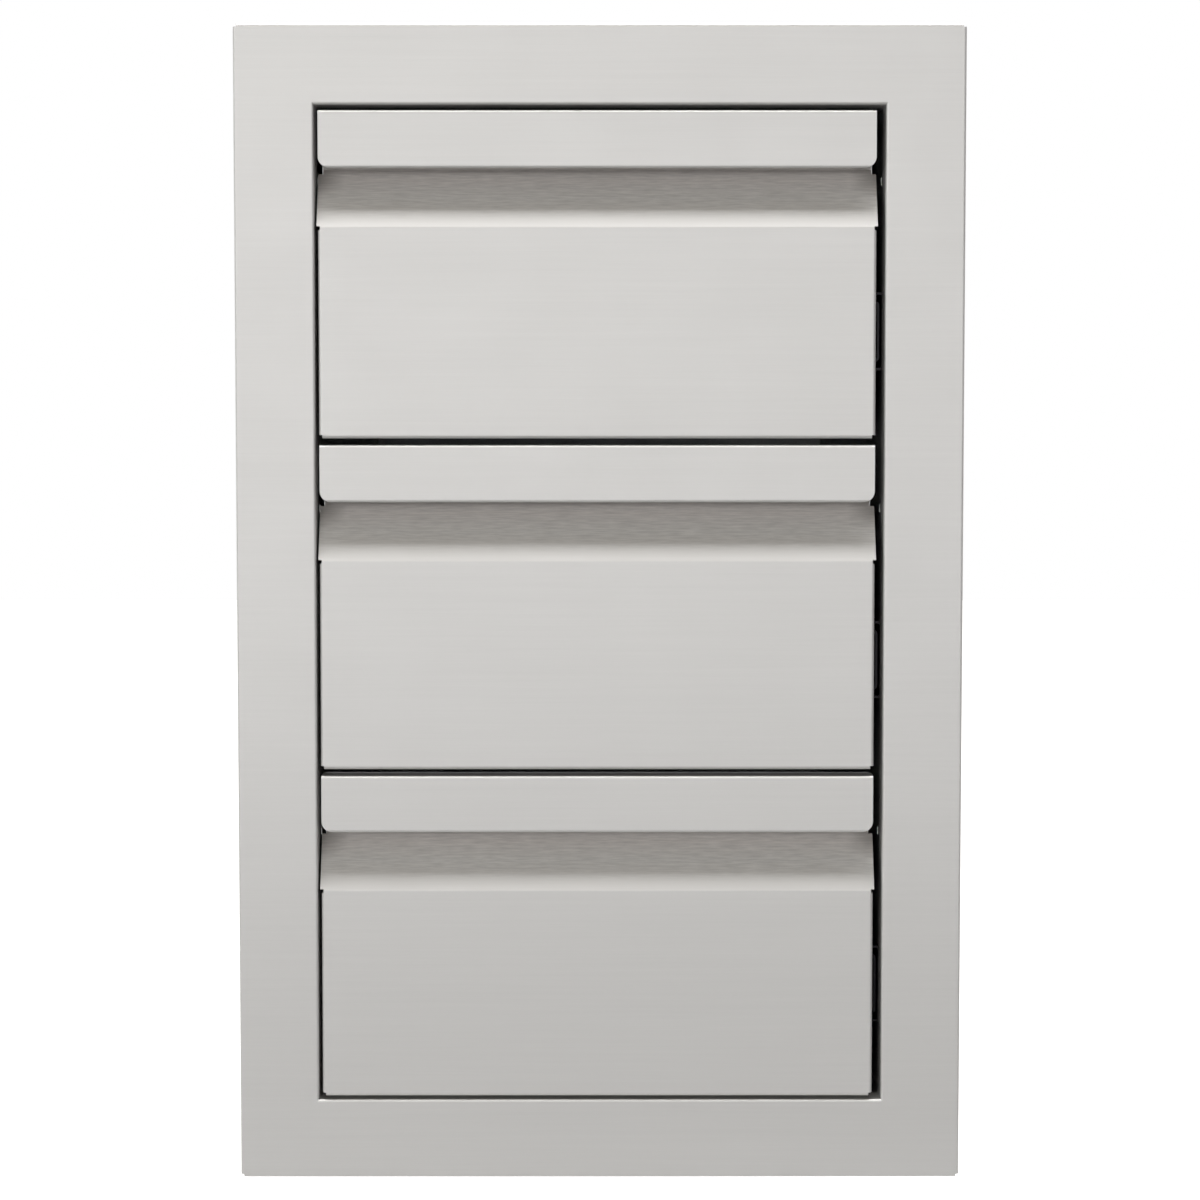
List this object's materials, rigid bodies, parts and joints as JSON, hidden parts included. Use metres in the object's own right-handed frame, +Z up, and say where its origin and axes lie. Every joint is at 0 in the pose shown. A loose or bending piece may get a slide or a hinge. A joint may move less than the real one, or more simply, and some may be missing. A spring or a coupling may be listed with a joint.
{
  "type": "outdoor kitchen drawer unit",
  "caption": "Built-in stainless drawer unit for an outdoor kitchen island: folded face frame, inset fronts with recessed finger pulls, trays on ball-bearing slides in a sheet housing.",
  "frame": {"origin": "on the plane of the island wall's face, where the face frame's outer folds seat, at the middle of the frame's lower edge", "axes": "+X to the right seen from the front, +Y into the wall, +Z up; the drawers open towards -Y"},
  "size_m": [0.419, 0.512, 0.667],
  "materials": {
    "brushed_stainless": "fine horizontal brushed grain",
    "mill_stainless": "dull mill finish, faint rolling grain",
    "zinc_steel": "black zinc plate",
    "cage_steel": "oiled spring steel with bright balls",
    "bumper_rubber": "matt moulded rubber"
  },
  "bodies": {
    "cabinet": {"face_frame": "brushed_stainless", "left_side_panel": "mill_stainless", "right_side_panel": "mill_stainless", "top_panel": "mill_stainless", "bottom_panel": "mill_stainless", "back_panel": "mill_stainless", "lower_left_outer_rail": "zinc_steel", "lower_left_bumper": "bumper_rubber", "lower_right_outer_rail": "zinc_steel", "lower_right_bumper": "bumper_rubber", "middle_left_outer_rail": "zinc_steel", "middle_left_bumper": "bumper_rubber", "middle_right_outer_rail": "zinc_steel", "middle_right_bumper": "bumper_rubber", "upper_left_outer_rail": "zinc_steel", "upper_left_bumper": "bumper_rubber", "upper_right_outer_rail": "zinc_steel", "upper_right_bumper": "bumper_rubber"},
    "lower_drawer": {"lower_front_panel": "brushed_stainless", "lower_pull_rail": "brushed_stainless", "lower_liner": "mill_stainless", "lower_tray": "mill_stainless", "lower_tray_back": "mill_stainless", "lower_left_inner_rail": "zinc_steel", "lower_right_inner_rail": "zinc_steel"},
    "lower_middle_rails": {"lower_left_middle_rail": "zinc_steel", "lower_right_middle_rail": "zinc_steel"},
    "lower_outer_cages": {"lower_left_outer_cage": "cage_steel", "lower_right_outer_cage": "cage_steel"},
    "lower_inner_cages": {"lower_left_inner_cage": "cage_steel", "lower_right_inner_cage": "cage_steel"},
    "middle_drawer": {"middle_front_panel": "brushed_stainless", "middle_pull_rail": "brushed_stainless", "middle_liner": "mill_stainless", "middle_tray": "mill_stainless", "middle_tray_back": "mill_stainless", "middle_left_inner_rail": "zinc_steel", "middle_right_inner_rail": "zinc_steel"},
    "middle_middle_rails": {"middle_left_middle_rail": "zinc_steel", "middle_right_middle_rail": "zinc_steel"},
    "middle_outer_cages": {"middle_left_outer_cage": "cage_steel", "middle_right_outer_cage": "cage_steel"},
    "middle_inner_cages": {"middle_left_inner_cage": "cage_steel", "middle_right_inner_cage": "cage_steel"},
    "upper_drawer": {"upper_front_panel": "brushed_stainless", "upper_pull_rail": "brushed_stainless", "upper_liner": "mill_stainless", "upper_tray": "mill_stainless", "upper_tray_back": "mill_stainless", "upper_left_inner_rail": "zinc_steel", "upper_right_inner_rail": "zinc_steel"},
    "upper_middle_rails": {"upper_left_middle_rail": "zinc_steel", "upper_right_middle_rail": "zinc_steel"},
    "upper_outer_cages": {"upper_left_outer_cage": "cage_steel", "upper_right_outer_cage": "cage_steel"},
    "upper_inner_cages": {"upper_left_inner_cage": "cage_steel", "upper_right_inner_cage": "cage_steel"}
  },
  "joints": [
    {"name": "lower_drawer_slide", "type": "slide", "parent": "cabinet", "child": "lower_drawer", "axis": [0, -1, 0], "range_m": [0, 0.44]},
    {"name": "lower_outer_cages_slide", "type": "slide", "parent": "cabinet", "child": "lower_outer_cages", "axis": [0, -1, 0], "range_m": [0, 0.11]},
    {"name": "lower_middle_rails_slide", "type": "slide", "parent": "cabinet", "child": "lower_middle_rails", "axis": [0, -1, 0], "range_m": [0, 0.22]},
    {"name": "lower_inner_cages_slide", "type": "slide", "parent": "cabinet", "child": "lower_inner_cages", "axis": [0, -1, 0], "range_m": [0, 0.33]},
    {"name": "middle_drawer_slide", "type": "slide", "parent": "cabinet", "child": "middle_drawer", "axis": [0, -1, 0], "range_m": [0, 0.44]},
    {"name": "middle_outer_cages_slide", "type": "slide", "parent": "cabinet", "child": "middle_outer_cages", "axis": [0, -1, 0], "range_m": [0, 0.11]},
    {"name": "middle_middle_rails_slide", "type": "slide", "parent": "cabinet", "child": "middle_middle_rails", "axis": [0, -1, 0], "range_m": [0, 0.22]},
    {"name": "middle_inner_cages_slide", "type": "slide", "parent": "cabinet", "child": "middle_inner_cages", "axis": [0, -1, 0], "range_m": [0, 0.33]},
    {"name": "upper_drawer_slide", "type": "slide", "parent": "cabinet", "child": "upper_drawer", "axis": [0, -1, 0], "range_m": [0, 0.44]},
    {"name": "upper_outer_cages_slide", "type": "slide", "parent": "cabinet", "child": "upper_outer_cages", "axis": [0, -1, 0], "range_m": [0, 0.11]},
    {"name": "upper_middle_rails_slide", "type": "slide", "parent": "cabinet", "child": "upper_middle_rails", "axis": [0, -1, 0], "range_m": [0, 0.22]},
    {"name": "upper_inner_cages_slide", "type": "slide", "parent": "cabinet", "child": "upper_inner_cages", "axis": [0, -1, 0], "range_m": [0, 0.33]}
  ],
  "couplings": [
    {"joint": "lower_outer_cages_slide", "follows": "lower_drawer_slide", "ratio": 0.25},
    {"joint": "lower_middle_rails_slide", "follows": "lower_drawer_slide", "ratio": 0.5},
    {"joint": "lower_inner_cages_slide", "follows": "lower_drawer_slide", "ratio": 0.75},
    {"joint": "middle_outer_cages_slide", "follows": "middle_drawer_slide", "ratio": 0.25},
    {"joint": "middle_middle_rails_slide", "follows": "middle_drawer_slide", "ratio": 0.5},
    {"joint": "middle_inner_cages_slide", "follows": "middle_drawer_slide", "ratio": 0.75},
    {"joint": "upper_outer_cages_slide", "follows": "upper_drawer_slide", "ratio": 0.25},
    {"joint": "upper_middle_rails_slide", "follows": "upper_drawer_slide", "ratio": 0.5},
    {"joint": "upper_inner_cages_slide", "follows": "upper_drawer_slide", "ratio": 0.75}
  ]
}
